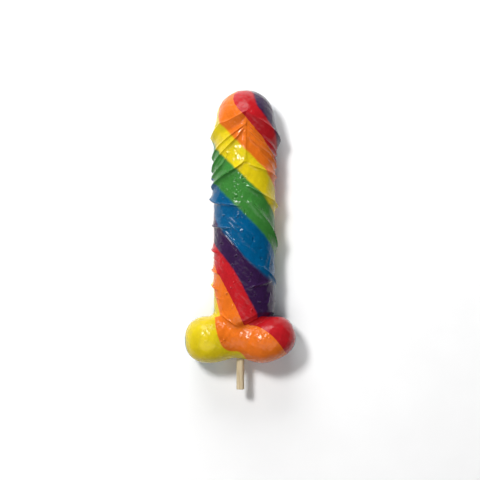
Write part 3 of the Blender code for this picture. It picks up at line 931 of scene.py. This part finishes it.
def candy_material():
    """Glossy boiled sugar in six twisted colours."""
    nodes = Nodes("striped hard candy")
    place = nodes.place()
    stored = nodes.add("ShaderNodeAttribute", attribute_name="stripe")
    parts = nodes.split(stored.outputs["Vector"])
    turn = nodes.math("ARCTAN2", parts[1], parts[0])
    wander = nodes.noise(place, WANDER_GRAIN, WANDER_DETAIL)
    drift = nodes.math("MULTIPLY", nodes.math("SUBTRACT", wander, NOISE_MIDDLE), STRIPE_WANDER)
    share = nodes.math("ADD", nodes.math("DIVIDE", turn, FULL_CIRCLE), drift)
    share = nodes.math("FRACT", nodes.math("ADD", share, 1.0))
    colour = nodes.ramp(share, stripe_stops())

    cloud = nodes.noise(place, CLOUD_GRAIN, CLOUD_DETAIL)
    bright = nodes.spread(cloud, NOISE_LOW, NOISE_HIGH, CLOUD_DARK, CLOUD_BRIGHT)
    tone = nodes.add("ShaderNodeMix", data_type="RGBA", blend_type="MULTIPLY")
    tone.inputs["Factor"].default_value = 1.0
    nodes.link(colour, tone.inputs["A"])
    nodes.link(bright, tone.inputs["B"])
    nodes.link(tone.outputs["Result"], nodes.shader.inputs["Base Color"])

    ripple = nodes.noise(place, RIPPLE_GRAIN, RIPPLE_DETAIL)
    nodes.bump(ripple, RIPPLE_STRENGTH, RIPPLE_HEIGHT)

    smear = nodes.spread(wander, NOISE_LOW, NOISE_HIGH, SMOOTH_ROUGHNESS, SMEARED_ROUGHNESS)
    dull = nodes.spread(nodes.split(place)[1], DULL_START, DULL_END, 0.0, DULL_ROUGHNESS)
    nodes.link(nodes.math("ADD", smear, dull), nodes.shader.inputs["Roughness"])
    for name, value in CANDY_SETTINGS:
        nodes.shader.inputs[name].default_value = value
    return nodes.material


def make_stick():
    """Round wooden rod with a worn end edge and a little fibre relief."""
    low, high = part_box("stick")
    foot_y = low[1] / MM
    top_y = high[1] / MM
    fibre_sum = sum(share for _, _, share in STICK_FIBRES)
    target = bmesh.new()
    rings = [
        (foot_y, STICK_RADIUS - STICK_EDGE),
        (foot_y + STICK_EDGE_STEP, STICK_RADIUS - STICK_EDGE_INSET),
    ]
    first = foot_y + STICK_EDGE
    for index in range(STICK_RINGS + 1):
        rings.append((first + (top_y - first) * index / STICK_RINGS, STICK_RADIUS))
    loops = []
    for y, radius in rings:
        loop = []
        for index in range(STICK_SIDES):
            turn = FULL_CIRCLE * index / STICK_SIDES
            fibre = sum(share * math.sin(around * turn + along * y) for around, along, share in STICK_FIBRES)
            full = radius - STICK_GRAIN * (1.0 + fibre / fibre_sum)
            corner = (STICK_X + full * math.cos(turn), y, MID_Z + full * math.sin(turn))
            loop.append(target.verts.new(Vector(corner) * MM))
        loops.append(loop)
    for lower, upper in zip(loops, loops[1:]):
        for index in range(STICK_SIDES):
            after = (index + 1) % STICK_SIDES
            target.faces.new((lower[index], lower[after], upper[after], upper[index]))
    target.faces.new(list(reversed(loops[0])))
    target.faces.new(loops[-1])
    bmesh.ops.recalc_face_normals(target, faces=target.faces)
    for face in target.faces:
        face.smooth = len(face.verts) == 4
    mesh = bpy.data.meshes.new("wooden_stick")
    target.to_mesh(mesh)
    target.free()
    return new_object("wooden_stick", mesh)


def wood_material():
    """Pale birch with long thin grain along the stick."""
    nodes = Nodes("pale birch")
    stretch = nodes.add("ShaderNodeMapping")
    stretch.inputs["Scale"].default_value = WOOD_STRETCH
    nodes.link(nodes.place(), stretch.inputs["Vector"])
    grain = nodes.noise(stretch.outputs[0], WOOD_GRAIN, WOOD_DETAIL)
    nodes.link(nodes.ramp(grain, WOOD_COLOURS), nodes.shader.inputs["Base Color"])
    nodes.bump(grain, WOOD_BUMP_STRENGTH, WOOD_BUMP_HEIGHT)
    nodes.shader.inputs["Roughness"].default_value = WOOD_ROUGHNESS
    return nodes.material


def floor_material():
    """Smooth white table top."""
    nodes = Nodes("white table")
    speck = nodes.noise(nodes.place(), FLOOR_GRAIN, FLOOR_DETAIL)
    tone = nodes.spread(speck, 0.0, 1.0, FLOOR_DARK, FLOOR_BRIGHT)
    nodes.link(tone, nodes.shader.inputs["Base Color"])
    nodes.shader.inputs["Roughness"].default_value = FLOOR_ROUGHNESS
    return nodes.material


def add_floor():
    """Plain pale floor under the candy."""
    bpy.ops.mesh.primitive_plane_add(size=FLOOR_SIZE, location=(0.0, 0.0, -FLOOR_GAP))
    floor = bpy.context.object
    floor.name = "floor"
    floor.data.materials.append(floor_material())


def add_light(name, place, size_x, size_y, power):
    """Soft rectangular light aimed at the middle of the candy."""
    data = bpy.data.lights.new(name, "AREA")
    data.shape = "RECTANGLE"
    data.size = size_x
    data.size_y = size_y
    data.energy = power
    lamp = bpy.data.objects.new(name, data)
    lamp.location = place
    aim = Vector((0.0, 0.0, MID_Z * MM)) - Vector(place)
    lamp.rotation_euler = aim.to_track_quat("-Z", "Y").to_euler()
    bpy.context.scene.collection.objects.link(lamp)


def add_studio():
    """White room, brightest low on the left, with a key light from the upper left and two soft ones."""
    world = bpy.data.worlds.new("studio")
    world.use_nodes = True
    tree = world.node_tree
    back = tree.nodes["Background"]
    direction = tree.nodes.new("ShaderNodeTexCoord")
    parts = tree.nodes.new("ShaderNodeSeparateXYZ")
    tree.links.new(direction.outputs["Generated"], parts.inputs[0])
    both = tree.nodes.new("ShaderNodeMath")
    both.operation = "MULTIPLY"
    tree.links.new(spread_value(tree, parts.outputs[2], ROOM_BY_HEIGHT), both.inputs[0])
    tree.links.new(spread_value(tree, parts.outputs[0], ROOM_BY_SIDE), both.inputs[1])
    tree.links.new(both.outputs[0], back.inputs["Strength"])
    back.inputs["Color"].default_value = WHITE
    bpy.context.scene.world = world
    for light in LIGHTS:
        add_light(*light)
    bpy.context.scene.view_settings.view_transform = "Standard"


def add_camera():
    """Camera straight above and looking down, with the tip of the candy toward the top."""
    data = bpy.data.cameras.new("camera")
    data.lens = LENS
    data.sensor_width = SENSOR
    camera = bpy.data.objects.new("camera", data)
    camera.location = (0.0, 0.0, (FOCUS_Z + EYE_DISTANCE) * MM)
    bpy.context.scene.collection.objects.link(camera)
    bpy.context.scene.camera = camera


candy = make_candy()
candy.data.materials.append(candy_material())
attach(candy, "root")
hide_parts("candy")

stick = make_stick()
stick.data.materials.append(wood_material())
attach(stick, "root")
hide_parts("stick")

add_floor()
add_studio()
add_camera()
